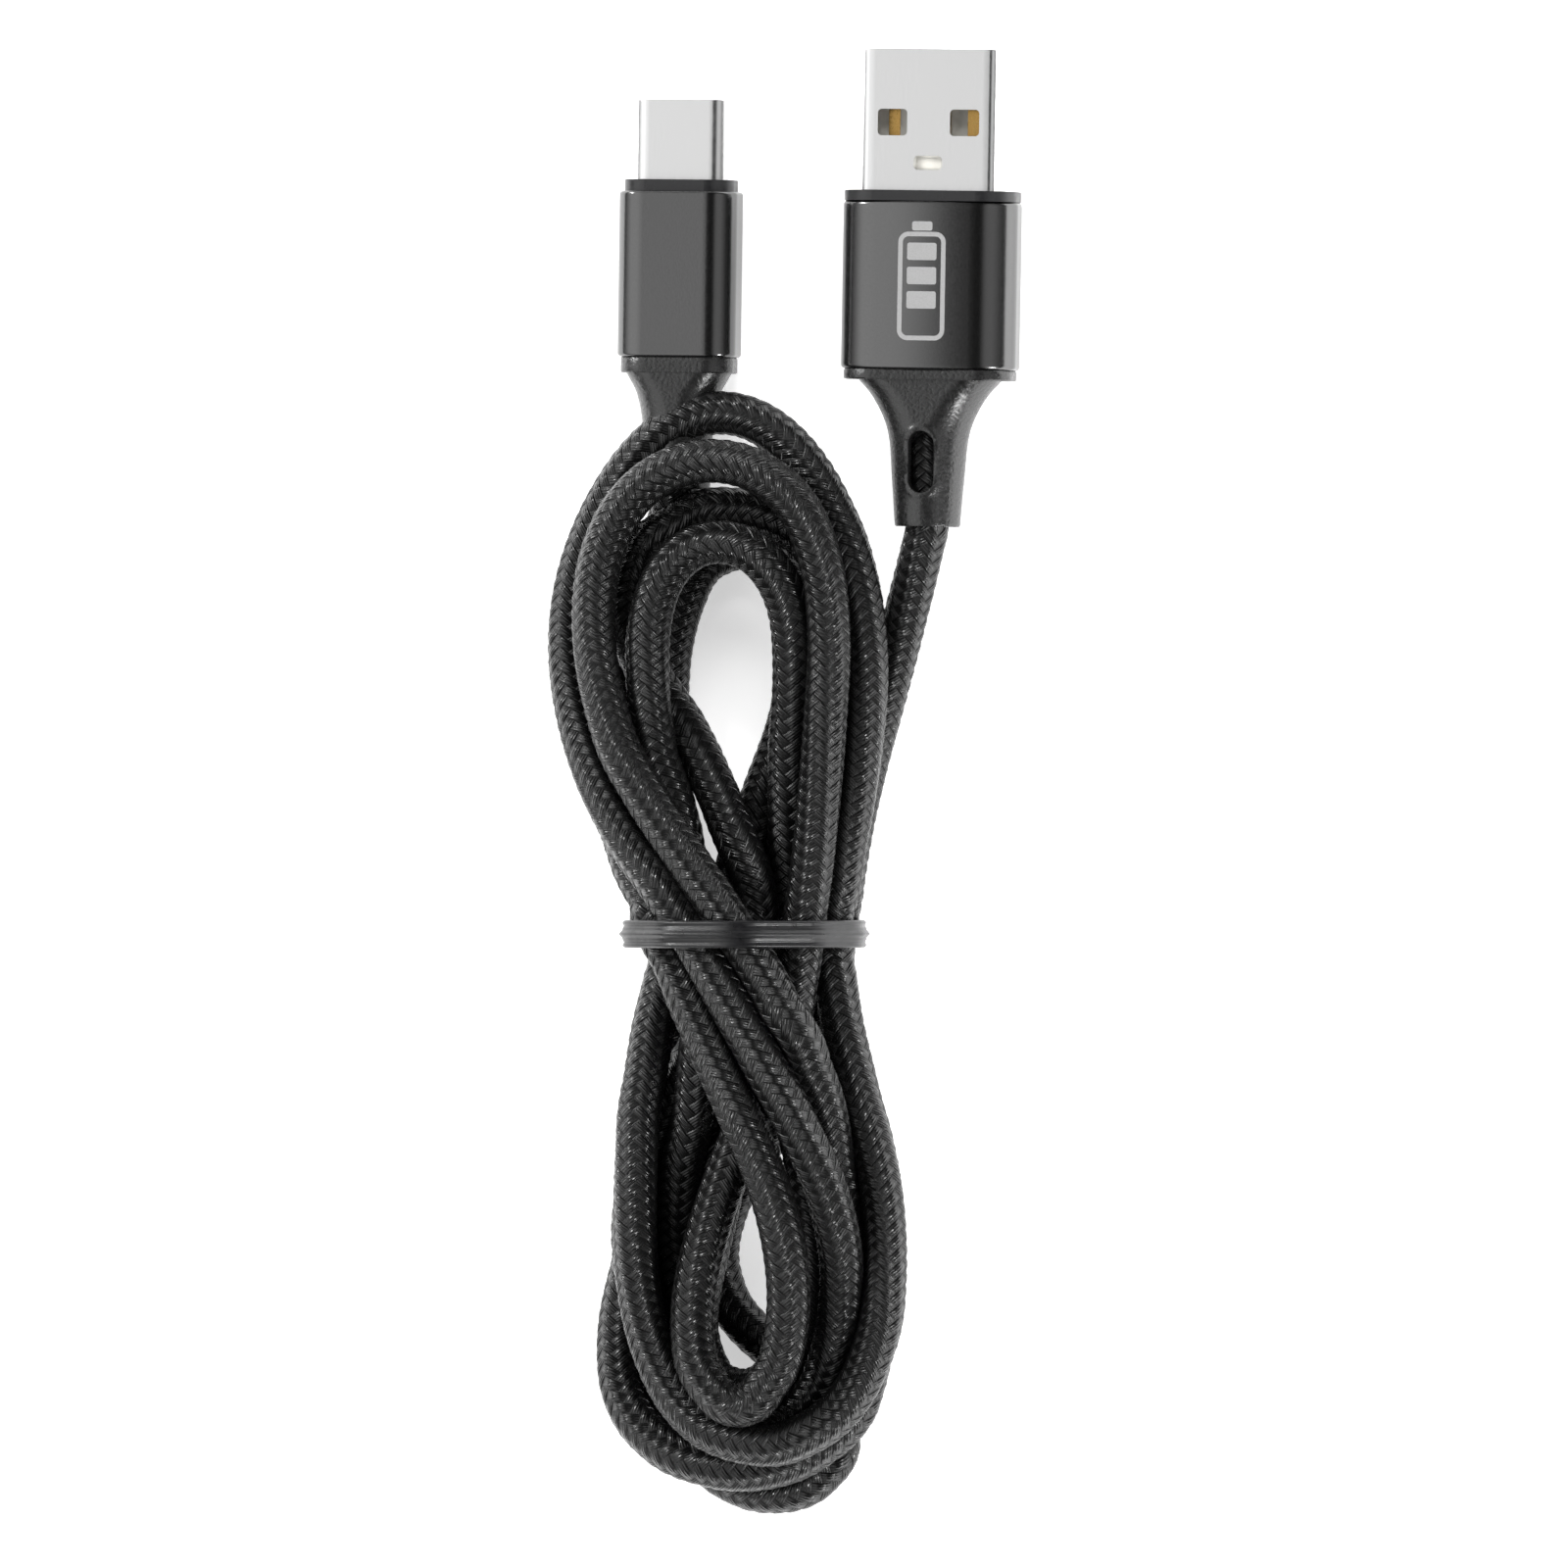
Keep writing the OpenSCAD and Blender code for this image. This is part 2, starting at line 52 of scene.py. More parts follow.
USB_A = {"mouth": (13.5, 63.7, 4.0), "lean": math.radians(1.0)}
USB_C = {"mouth": (-9.2, 59.5, 3.25), "lean": math.radians(0.8)}
A_SHELL_END, A_FRONT, A_BACK, A_END = 18.3, 13.2, 27.8, 41.4
C_SHELL_END, C_FRONT, C_BACK, C_END = 10.0, 8.0, 22.4, 33.9
A_STUB, C_STUB = 24.6, 19.5  # where the cord's jacket ends inside each plug

TIE_Y = -13.0
TIE_WIDE = 2.4
TIE_TAIL = 8.0

# Two stretches that the drawing gives, from each relief's end: x, y, z
LEAD_A = [(12.3, 20, 3.8), (11.5, 17.5, 3.4), (10.6, 15, 2.8), (9.8, 12, 2.3), (8.9, 9, 2), (8.1, 5, 2),
          (7, 2, 2), (6, -1, 2), (5.1, -5, 2)]
LEAD_C = [(-10.2, 23.5, 3), (-11.1, 21, 2.5), (-12, 18.5, 2.1), (-12.8, 16, 2), (-13.5, 13.5, 2)]

# The strands in the order in which the cord runs, from the USB-A lead to the USB-C lead: x, y, layer
STRANDS = [
    # down under the tie, deep through the lower lobe, and round its lowest loop
    (4.5, -13.5, 1), (4, -18, 1), (2.5, -22, 1), (0.5, -26, 1), (-2, -30, 1), (-4.5, -33.5, 1),
    (-6.5, -37.5, 1), (-7.3, -41.5, 1), (-6.6, -45, 1), (-4.5, -47.8, 1), (-1.2, -49.6, 1), (2.2, -51.2, 1),
    (4.8, -53.2, 1), (6, -55.8, 1), (5.4, -58.5, 1), (3.2, -60.6, 1), (0.2, -61.8, 1), (-3, -62, 1),
    (-6, -61.2, 1), (-8.8, -59, 1), (-10.9, -55.5, 1), (-12, -51, 1.3), (-12.4, -47, 1.8),
    # up the lower lobe's left edge
    (-13, -42.5, 2), (-13, -37.5, 2), (-12, -32.5, 1.8), (-9.5, -27.5, 1.3), (-7, -22, 1), (-5, -18, 1),
    (-3.5, -13.5, 1),
    # up inside the upper lobe and over its third arch
    (-2, -8.5, 1), (0, -3.5, 1), (2.5, 1.5, 1), (4, 7, 1), (5, 12, 1), (5.5, 16, 1.2), (4.5, 19.5, 1.6),
    (1.5, 22.5, 2), (-3, 24, 2.1), (-6.5, 24.5, 2.1), (-10, 23.5, 2), (-12.5, 21, 2), (-14, 17, 2),
    (-14, 13, 2),
    # down its left side
    (-13, 10.5, 2), (-11, 8.5, 2), (-9.5, 6, 2), (-7.5, 3, 2), (-5.5, -0.5, 2), (-3.5, -5, 2), (-2, -9, 2),
    (-1, -13.5, 2),
    # down the lower lobe's right side and round its second loop
    (-1, -18, 2), (0, -22, 2), (1, -27, 2), (2, -32, 1.7), (3, -37, 1.3), (3, -42, 1), (2.5, -47, 1),
    (1.7, -50.5, 1), (-0.2, -53, 1), (-2.8, -54, 1), (-5.3, -53.3, 1.2), (-7, -51, 1.6), (-7.5, -47, 2),
    # up its left side
    (-7.5, -42.5, 2), (-6.5, -37.5, 2), (-5.5, -32.5, 2), (-4, -28, 1.6), (-2.5, -23, 1.2), (-1, -18, 1),
    (0.5, -13.5, 1),
    # up the upper lobe's right side and over the fifth arch
    (0.5, -9, 1.4), (0, -5, 1.8), (0, 0, 2), (1, 4.5, 2), (2, 9.5, 2), (2, 13.5, 2), (1.5, 17.5, 2),
    (-0.8, 20.5, 2), (-4, 21.8, 2), (-7.3, 21.2, 2.2), (-9.8, 19, 2.6), (-10.8, 15.5, 2.9),
    # down its left side
    (-11, 12.5, 3), (-10.5, 8.5, 3), (-10, 4.5, 3), (-9, 0.5, 2.7), (-8, -3, 2.2), (-8, -7, 1.5),
    (-8.5, -10.5, 1.1), (-9.5, -13.5, 1),
    # down the lower lobe's left side and round its wide loop
    (-10.5, -17, 1.6), (-11, -22, 2), (-11.5, -27.5, 2.3), (-12, -32.5, 2.9), (-12, -37.5, 3),
    (-12, -42.5, 2.9), (-11.5, -46.5, 2.6), (-10, -51, 2.4), (-7.5, -54.5, 2.3), (-4.5, -57, 2.2),
    (-0.5, -58, 2.2), (4, -57, 2.2), (7, -54, 2.1), (9, -50, 2), (9.5, -44.5, 1.8),
    # up its right side
    (9, -39.5, 1.7), (8.5, -34, 1.7), (7.5, -29, 1.8), (6.5, -24.5, 1.9), (5.5, -19.5, 2), (5, -16, 2),
    (5, -13.5, 2),
    # up the upper lobe's right edge and over the first arch, across the USB-C relief
    (5.5, -10, 2), (6, -5, 2), (7, 0, 2), (7.5, 5, 2), (8, 10, 2), (7.5, 15.5, 2), (6.5, 19, 2),
    (4.5, 23.5, 2.1), (2.5, 27.5, 2.3), (-0.5, 31.3, 2.6), (-4, 33, 2.9), (-8, 32.5, 2.9),
    (-11.5, 30.3, 2.6), (-14, 26.5, 2), (-16, 23.5, 1.6), (-17.5, 20, 1.2), (-19, 16, 1),
    # down its left edge
    (-19, 12.5, 1.2), (-18, 8, 1.6), (-17, 4, 2), (-15.5, -0.5, 2), (-13, -4.5, 2.1), (-10, -8.5, 2.5),
    (-6, -13.5, 3),
    # down across the lower lobe and round its third loop
    (-4, -17, 3), (-1.5, -21.5, 3), (1.5, -25.5, 3), (4, -30, 3), (5.5, -34, 2.8), (6.5, -38.5, 2.6),
    (7, -42.5, 2.4), (6.5, -47, 2.2), (5.5, -51, 2.1), (4, -54, 2), (1, -55.5, 2), (-1.5, -56, 2),
    (-4.5, -55, 1.9), (-7.5, -53, 1.6), (-9, -50, 1.2), (-10, -46, 1),
    # up its left side
    (-10, -42, 1), (-9.5, -37.5, 1.3), (-8.5, -32.5, 1.9), (-7.5, -27.5, 2.2), (-7, -22, 2.1), (-6, -18, 2),
    (-5, -13.5, 2),
    # up deep in the upper lobe and over its lowest arch
    (-4, -9, 1.6), (-2.5, -4.5, 1.2), (-1, 0.5, 1), (0.5, 5, 1), (1.5, 9.5, 1), (1.5, 13.5, 1),
    (1, 17.5, 1), (-1, 20, 1), (-4.5, 21.5, 1), (-7.5, 20.8, 1), (-9.5, 18.5, 1), (-10.5, 15, 1),
    # down deep on its left side
    (-10.5, 12, 1), (-10.5, 8.5, 1), (-11, 4, 1), (-11, 0, 1), (-10, -4.5, 1), (-8.5, -8.5, 1),
    (-7, -13.5, 1),
    # down the lower lobe's far left and round its outer loop
    (-8, -18, 1), (-9.5, -22, 1), (-11, -27.5, 1), (-12, -32.5, 1), (-12.8, -37.5, 1), (-13.2, -42.5, 1),
    (-13.2, -48, 1.2), (-12.5, -52.5, 1.6), (-11, -56, 2), (-8.5, -58.7, 2), (-5, -59.8, 1.8),
    (-1.5, -59.8, 1.2), (2, -58.8, 1), (5, -56.5, 1), (7, -53, 1), (8, -48, 1), (8, -43.5, 1),
    # up across the lower lobe
    (7, -38.5, 1.1), (6, -33.5, 1.5), (4.5, -28, 2), (3.5, -24, 2.5), (2, -20, 3), (0, -16.5, 3),
    (-1.5, -13.5, 3),
    # up the upper lobe's left side and over the second arch, which lies on top
    (-4, -10, 3), (-7, -6, 3), (-9.5, -2, 3), (-12, 1, 3), (-13.5, 4.5, 3), (-15, 9, 3), (-15.5, 13, 3),
    (-15.5, 18, 3), (-14.8, 21.8, 3), (-12.8, 25.5, 3), (-9.8, 27.8, 3), (-5.5, 28.5, 3), (-1.3, 27.8, 3),
    (1.8, 26, 3), (3.8, 22.7, 3), (4.8, 18.5, 3), (5, 13.5, 3),
    # down its right side
    (5, 9.5, 3), (4.5, 4.5, 3), (4.5, 0, 2.8), (4, -5, 2.6), (3.5, -9.5, 2.5), (3, -13.5, 2.4),
    # down the lower lobe's left side and round its innermost loop, which lies on top
    (2.5, -17, 2.1), (1, -22, 2), (-1, -26.5, 2.2), (-2.8, -31.5, 2.6), (-5, -36.5, 2.9), (-6.3, -42, 3),
    (-6.9, -46, 3.2), (-6.9, -49.5, 3.4), (-6.2, -52.7, 3.5), (-4.6, -55, 3.5), (-2.5, -55.6, 3.5),
    (-0.5, -54.4, 3.5), (1, -51.5, 3.3), (2, -47.8, 3.1), (2.5, -44, 3),
    # up across it
    (2.2, -39.5, 3), (0.5, -34, 3), (-1.8, -29, 3), (-4.5, -24, 3), (-6.5, -19, 2.7), (-8, -16, 2.3),
    (-8.5, -13.5, 2),
    # up under the left edge to the USB-C lead
    (-10.5, -10, 2), (-13, -6.5, 1.5), (-15, -3, 1), (-16, 1, 1), (-16, 4.5, 1), (-15.5, 8.5, 1),
    (-14.5, 11.5, 1),
]


# ---- Materials ----
def colour(text):
    """sRGB hex to linear: c / 12.92 up to 0.04045, and ((c + 0.055) / 1.055) to the power 2.4 above it."""
    c = np.array([int(text[i:i + 2], 16) for i in (1, 3, 5)]) / 255
    c = np.where(c < 0.04045, c / 12.92, ((c + 0.055) / 1.055) ** 2.4)
    return (*c.tolist(), 1.0)


def add(tree, kind, inputs=None, **settings):
    """Adds a node with its settings. An input that is a socket is linked, and any other is a value."""
    made = tree.nodes.new("ShaderNode" + kind)
    for key, value in settings.items():
        setattr(made, key, value)
    for key, value in (inputs or {}).items():
        if isinstance(value, bpy.types.NodeSocket):
            tree.links.new(value, made.inputs[key])
        else:
            made.inputs[key].default_value = value
    return made


def finish_of(name, base, rough, metallic=0.0, ior=1.5):
    """A new material with one Principled shader: its tree and shader are returned with it."""
    material = bpy.data.materials.new(name)
    material.use_nodes = True
    tree = material.node_tree
    tree.nodes.clear()
    shader = add(tree, "BsdfPrincipled", {"Base Color": colour(base), "Roughness": rough,
                                          "Metallic": metallic, "IOR": ior})
    add(tree, "OutputMaterial", {"Surface": shader.outputs[0]})
    return material, tree, shader


def grained(name, base, light, rough, grain, depth, metallic=0.0, ior=1.5, stretch=(1, 1, 1), spread=0.08):
    """A finish with a fine surface grain: noise of the given grain size in mm, which shifts the colour
    between base and light, moves the roughness by the spread, and stands up to depth mm proud."""
    material, tree, shader = finish_of(name, base, rough, metallic, ior)
    place = add(tree, "TexCoord")
    scaled = add(tree, "Mapping", {"Vector": place.outputs["Object"], "Scale": stretch})
    noise = add(tree, "TexNoise", {"Vector": scaled.outputs[0], "Scale": 1 / (grain * MM), "Detail": 3.0})
    mixed = add(tree, "Mix", {"Factor": noise.outputs["Fac"], 6: colour(base), 7: colour(light)},
                data_type="RGBA")
    tree.links.new(mixed.outputs[2], shader.inputs["Base Color"])
    spreads = add(tree, "MapRange", {"Value": noise.outputs["Fac"], "From Min": 0.3, "From Max": 0.7,
                                     "To Min": rough - spread, "To Max": rough + spread})
    tree.links.new(spreads.outputs[0], shader.inputs["Roughness"])
    bump = add(tree, "Bump", {"Height": noise.outputs["Fac"], "Distance": depth * MM, "Strength": 1.0})
    tree.links.new(bump.outputs[0], shader.inputs["Normal"])
    return material


# Deep-drawn steel with bright nickel plate: near-white, faint drawing lines along the plug
NICKEL = grained("nickel_plated_steel_drawn", "#dadada", "#e6e6e6", 0.24, 0.3, 0.0012, 1.0,
                 stretch=(1, 0.4, 1), spread=0.03)
# Extruded aluminium, bead-blasted and anodised black: soft satin with a fine even grain. The base is much
# lighter than black dye, so that it gives the right grey under this light
ANODISED = grained("aluminium_anodised_black_blasted", "#5c5c5c", "#696969", 0.2, 0.16, 0.003, 1.0,
                   spread=0.03)
# Laser marking in the anodised layer: pale, matt grey
LASERED = grained("anodised_layer_laser_marked", "#6e6e6e", "#888888", 0.55, 0.12, 0.004)
# Thermoplastic elastomer moulded against a spark-eroded tool: leathery orange peel
ELASTOMER = grained("tpe_moulded_eroded_tool", "#0e0e0e", "#161616", 0.28, 0.3, 0.05, ior=1.6)
# Polypropylene inner mould, which shows as the collar: smoother and a little shinier
POLYPROPYLENE = grained("polypropylene_moulded", "#121213", "#19191a", 0.34, 0.6, 0.01, ior=1.49)
# PBT insulator, moulded white, and darkened for the shade inside the shell
PBT_WHITE = grained("pbt_moulded_white", "#b9b7b0", "#c8c6bf", 0.4, 0.5, 0.006, ior=1.55)
# Liquid crystal polymer, moulded dark, with faint flow marks
LCP_DARK = grained("lcp_moulded_dark", "#232324", "#2f2f31", 0.45, 0.4, 0.006, stretch=(1, 0.3, 1), ior=1.6)
# Gold flash over nickel on stamped contacts, made duller and darker than gold as painted shade for the shade
# inside the shells
GOLD = grained("copper_alloy_gold_plated", "#a88448", "#bd9a5c", 0.26, 0.4, 0.002, 1.0, spread=0.05)
# Spring steel strip, rolled
SPRING = grained("spring_steel_rolled", "#8d8f92", "#a5a7aa", 0.3, 0.3, 0.003, 1.0, stretch=(1, 0.2, 1))
# Tin solder, set from the melt: bright and a little lumpy
SOLDER = grained("tin_solder_set", "#b3b5b8", "#cccdd0", 0.28, 0.5, 0.03, 1.0)
# Glass-epoxy board under green solder resist, which shows the glass weave faintly
BOARD = grained("glass_epoxy_solder_resist", "#1c5a34", "#257041", 0.3, 0.35, 0.01, ior=1.55)
# Resistor body of fired ceramic and black glaze
CHIP = grained("ceramic_resistor_glazed", "#151515", "#202020", 0.3, 0.25, 0.004)
# Conductors' extruded PVC in its four colours: smooth, slightly wavy
WIRE_COLOURS = {"red": ("#a3161c", "#b82128"), "white": ("#dedcd6", "#eeece7"),
                "green": ("#1c7a3d", "#268f4b"), "black": ("#141414", "#1e1e1e")}
WIRES = {key: grained("pvc_extruded_" + key, low, high, 0.4, 0.6, 0.01, ior=1.53)
         for key, (low, high) in WIRE_COLOURS.items()}
# PVC sleeve of the twist tie, extruded over its wire: glossy, with draw lines across its width
TIE_PVC = grained("pvc_extruded_tie_black", "#070708", "#0d0d0f", 0.34, 0.5, 0.01, ior=1.53)
# Annealed steel wire
TIE_STEEL = grained("annealed_steel_drawn", "#6f7072", "#838487", 0.4, 0.3, 0.003, 1.0)

CARRIERS = 8  # ribbons each way round the cord
BRAID_PITCH = 1.15  # mm of cord to each crossing along a column


def braid_material():
    """Multifilament nylon ribbons, two over and two under.

    The piece's own UV map counts columns round the cord and crossings along it. With a = u + v and
    b = u - v, ribbon A is on top where floor(a) + floor(b), modulo 4, is under 2, and B elsewhere.
    Each float is an arch, 1 - (2 t - 1)^2 along its length t, crowned across, and it carries fine
    filaments that run along it.
    """
    material, tree, shader = finish_of("nylon_multifilament_braided", "#101012", 0.38, ior=1.53)
    uv = add(tree, "UVMap", uv_map="braid")
    axes = add(tree, "SeparateXYZ", {0: uv.outputs[0]})
    value = {"u": axes.outputs[0], "v": axes.outputs[1]}
    steps = [
        ("a", "ADD", "u", "v"), ("b", "SUBTRACT", "u", "v"),
        ("fa", "FLOOR", "a"), ("fb", "FLOOR", "b"),
        ("sum", "ADD", "fa", "fb"), ("cell", "FLOORED_MODULO", "sum", 4.0),
        ("over", "LESS_THAN", "cell", 1.5),
        ("ta0", "ADD", "fa", "b"), ("ta1", "FLOORED_MODULO", "ta0", 4.0), ("ta", "MULTIPLY", "ta1", 0.5),
        ("tb0", "ADD", "a", "fb"), ("tb1", "FLOORED_MODULO", "tb0", 4.0),
        ("tb", "MULTIPLY_ADD", "tb1", 0.5, -1.0),
        ("dt", "SUBTRACT", "ta", "tb"), ("t", "MULTIPLY_ADD", "over", "dt", "tb"),
        ("ca", "FRACT", "a"), ("cb", "FRACT", "b"), ("dc", "SUBTRACT", "ca", "cb"),
        ("c", "MULTIPLY_ADD", "over", "dc", "cb"),
        ("t2", "MULTIPLY_ADD", "t", 2.0, -1.0), ("tt", "MULTIPLY", "t2", "t2"),
        ("arch", "SUBTRACT", 1.0, "tt"),
        ("c2", "MULTIPLY_ADD", "c", 2.0, -1.0), ("cc", "POWER", "cm", 4.0), ("crown", "SUBTRACT", 1.0, "cc"),
        ("height", "MULTIPLY", "arch", "crown"),
        ("strand0", "MULTIPLY", "c", 2 * math.pi * 4), ("strand1", "COSINE", "strand0"),
        ("ridge", "MULTIPLY", "strand1", -0.09), ("relief", "ADD", "height", "ridge"),
    ]
    for name, operation, *parts in steps:
        if name == "cc":
            value["cm"] = add(tree, "Math", {0: value["c2"]}, operation="ABSOLUTE").outputs[0]
        inputs = {i: value.get(part, part) for i, part in enumerate(parts)}
        value[name] = add(tree, "Math", inputs, operation=operation).outputs[0]
    # Painted shade darkens the colour of the sunk edges and a painted sheen lightens the colour of the crowns;
    # the crowns are also smoother, so they catch the light
    painted_sheen_and_shade = add(tree, "MapRange", {"Value": value["height"], "From Min": 0.05, "From Max": 0.9})
    mixed = add(tree, "Mix", {"Factor": painted_sheen_and_shade.outputs[0], 6: colour("#020202"), 7: colour("#0b0b0b")},
                data_type="RGBA")
    tree.links.new(mixed.outputs[2], shader.inputs["Base Color"])
    rough = add(tree, "MapRange", {"Value": value["height"], "From Min": 0.0, "From Max": 0.9,
                                   "To Min": 0.5, "To Max": 0.22})
    tree.links.new(rough.outputs[0], shader.inputs["Roughness"])
    bump = add(tree, "Bump", {"Height": value["relief"], "Distance": 0.2 * MM, "Strength": 1.0})
    tree.links.new(bump.outputs[0], shader.inputs["Normal"])
    shader.inputs["Specular IOR Level"].default_value = 0.5
    return material


# ---- Surfaces ----
def quads(rows, columns, close_rows):
    """Corner numbers of the quads between neighbours on a grid whose columns run round in a ring."""
    i = np.arange(rows if close_rows else rows - 1)[:, None]
    j = np.arange(columns)[None, :]
    ahead = (i + 1) % rows
    beside = (j + 1) % columns
    corners = [i * columns + j, i * columns + beside, ahead * columns + beside, ahead * columns + j]
    return np.stack(np.broadcast_arrays(*corners), -1).reshape(-1, 4)


def volume(points, faces):
    """Signed volume: a sixth of the sum of a . (b x c) over each face's triangles about its first corner."""
    a, b, c, d = (points[faces[:, k]] for k in range(4))
    return float((np.cross(b, c) * a + np.cross(c, d) * a).sum()) / 6


def skin(grid, close_rows=False):
    """Points and faces of a ring surface: a grid of rows x columns x 3 in mm, closed at both ends."""
    rows, columns = grid.shape[:2]
    points = grid.reshape(-1, 3)
    faces = quads(rows, columns, close_rows)
    if close_rows:
        caps = []
    else:
        first = np.arange(columns)[::-1].tolist()
        last = ((rows - 1) * columns + np.arange(columns)).tolist()
        caps = [first, last]
    if volume(points - points.mean(0), faces) < 0:
        faces = faces[:, ::-1]
        caps = [cap[::-1] for cap in caps]
    return points, faces.tolist() + caps


def join(*skins):
    """Several closed surfaces in one mesh: the later ones' corner numbers follow on."""
    points = np.vstack([p for p, _ in skins])
    starts = np.cumsum([0] + [len(p) for p, _ in skins])
    faces = [[corner + start for corner in face] for (_, fs), start in zip(skins, starts) for face in fs]
    return points, faces


def piece(name, shape, material, sharp=35.0):
    """A mesh object at the origin: mm become metres, smooth but for edges over the sharp angle, in degrees."""
    points, faces = shape
    mesh = bpy.data.meshes.new(name)
    mesh.from_pydata((points * MM).tolist(), [], faces)
    mesh.materials.append(material)
    mesh.shade_smooth()
    mesh.set_sharp_from_angle(angle=math.radians(sharp))
    made = bpy.data.objects.new(name, mesh)
    bpy.context.scene.collection.objects.link(made)
    return made


def stands_for(made, slot, *cad_nodes):
    """Rides on the one body and hides the nodes it replaces. The slot is not used."""
    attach(made, "root")
    if cad_nodes:
        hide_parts(*cad_nodes)
    return made


def seated(points, plug):
    """Puts points given as (across, back from the mouth, up) on a plug, turned by its lean."""
    lean = plug["lean"]
    right = np.array([math.cos(lean), -math.sin(lean), 0.0])
    back = np.array([-math.sin(lean), -math.cos(lean), 0.0])
    up = np.array([0.0, 0.0, 1.0])
    return np.array(plug["mouth"]) + points[..., :1] * right + points[..., 1:2] * back + points[..., 2:] * up


def outline(w, h, r, corner=12, crown=0.0):
    """Points round rectangles w x h, one for each row, with corners of radius r: a quarter circle about each
    corner's centre, then points along the side that follows. The broad sides bulge by `crown`: the height
    is lessened by crown (2 x / w)^2 towards both edges."""
    w, h, r = (np.broadcast_to(np.atleast_1d(v).astype(float), (np.size(w),))[:, None] for v in (w, h, r))
    turn = np.linspace(0, np.pi / 2, corner + 1)
    arcs = []
    for q, (sx, sy) in enumerate([(1, 1), (-1, 1), (-1, -1), (1, -1)]):
        x = sx * (w / 2 - r) + r * np.cos(turn + q * np.pi / 2)
        y = sy * (h / 2 - r) + r * np.sin(turn + q * np.pi / 2)
        arcs.append(np.stack([x, y], -1))
    parts = []
    part_way = np.array([0.05, 0.2, 0.35, 0.5, 0.65, 0.8, 0.95])[None, :, None]
    for q in range(4):
        start, end = arcs[q][:, -1:], arcs[(q + 1) % 4][:, :1]
        parts += [arcs[q], start + (end - start) * part_way]
    ring = np.concatenate(parts, 1)
    fall = crown * (2 * ring[..., 0] / w) ** 2 * ring[..., 1] / (h / 2)
    return ring - np.stack([0 * fall, fall], -1)


def carried(rows, plug, close_rows=True, corner=12, crown=0.0):
    """Rounded rectangles carried back along a plug: each row is (back, width, height, radius)."""
    back, w, h, r = np.array(rows, float).T
    ring = outline(w, h, r, corner, crown)
    back = np.broadcast_to(back[:, None], ring.shape[:2])
    return seated(np.stack([ring[..., 0], back, ring[..., 1]], -1), plug), close_rows


def tube_rows(w, h, r, wall, front, rear, edge):
    """Rows of an open tube whose outer edges are rounded by `edge`: the profile goes back along the outside,
    forward along the inside, and closes on itself. A quarter circle of insets rounds each outer edge."""
    turn = np.linspace(0, np.pi / 2, 5)
    ease = edge * (1 - np.sin(turn))
    run = edge * (1 - np.cos(turn))
    rows = [(front + b, i) for b, i in zip(run, ease)]
    rows += [(front + edge + 0.3, 0), (rear - edge - 0.3, 0)]
    rows += [(rear - b, i) for b, i in zip(run[::-1], ease[::-1])]
    rows += [(rear, wall), (rear - 0.3, wall), (front + 0.3, wall), (front, wall)]
    return [(b, w - 2 * i, h - 2 * i, max(r - i, 0.15)) for b, i in rows]


def cut(made, *cutters):
    """Takes the cutters' solids away from a piece, and leaves no modifier and no cutter behind."""
    for cutter in cutters:
        change = made.modifiers.new("cut", "BOOLEAN")
        change.operation = "DIFFERENCE"
        change.solver = "EXACT"
        change.object = cutter
    view = bpy.context.evaluated_depsgraph_get()
    mesh = bpy.data.meshes.new_from_object(made.evaluated_get(view), depsgraph=view)
    old = made.data
    made.modifiers.clear()
    made.data = mesh
    bpy.data.meshes.remove(old)
    mesh.shade_smooth()
    mesh.set_sharp_from_angle(angle=math.radians(35))
    for cutter in cutters:
        bpy.data.objects.remove(cutter)
    return made


def punch(w, l, r, across, back, low, high, plug, narrow=0.0):
    """An upright cutter w x l at a place on a plug, from low to high, narrower by `narrow` at its low end."""
    ring = outline([w - 2 * narrow, w], [l - 2 * narrow, l], [max(r - narrow, 0.1), r], 6)
    up = np.broadcast_to(np.array([low, high])[:, None], ring.shape[:2])
    grid = np.stack([ring[..., 0] + across, ring[..., 1] + back, up], -1)
    return piece("cutter", skin(seated(grid, plug)), ANODISED)


# ---- The cord's route ----
def evenly(line, step):
    """The same line cut into equal steps: each coordinate read off against the length along it."""
    along = np.r_[0, np.cumsum(np.linalg.norm(np.diff(line, axis=0), axis=1))]
    at = np.linspace(0, along[-1], int(round(along[-1] / step)) + 1)
    return np.stack([np.interp(at, along, line[:, k]) for k in range(line.shape[1])], 1)


def curved(points, step):
    """A smooth curve through the points, cut into equal steps.

    Cubic Hermite pieces over knots at the running sum of the root of each chord. The tangent at a point is
    the slope of its neighbours' chords, each weighted by the other's knot spacing.
    """
    points = np.asarray(points, float)
    knots = np.r_[0, np.cumsum(np.linalg.norm(np.diff(points, axis=0), axis=1) ** 0.5)]
    gap = np.diff(knots)[:, None]
    slope = np.diff(points, axis=0) / gap
    inner = (slope[:-1] * gap[1:] + slope[1:] * gap[:-1]) / (gap[1:] + gap[:-1])
    tangent = np.vstack([slope[:1], inner, slope[-1:]])
    at = np.linspace(0, knots[-1], 30 * len(points))
    i = np.clip(np.searchsorted(knots, at, "right") - 1, 0, len(points) - 2)
    g = gap[i]
    u = (at - knots[i])[:, None] / g
    fine = ((1 + 2 * u) * (1 - u) ** 2 * points[i] + u * (1 - u) ** 2 * g * tangent[i]
            + u * u * (3 - 2 * u) * points[i + 1] + u * u * (u - 1) * g * tangent[i + 1])
    return evenly(fine, step)


def stiffened(x, weight, reach):
    """Moves each point against the fourth difference of the line over `reach` points, as bending does."""
    n = len(x)
    parts = [x[k * reach:n - (4 - k) * reach] for k in range(5)]
    bend = parts[0] - 4 * parts[1] + 6 * parts[2] - 4 * parts[3] + parts[4]
    x[2 * reach:n - 2 * reach] -= bend * weight / 8


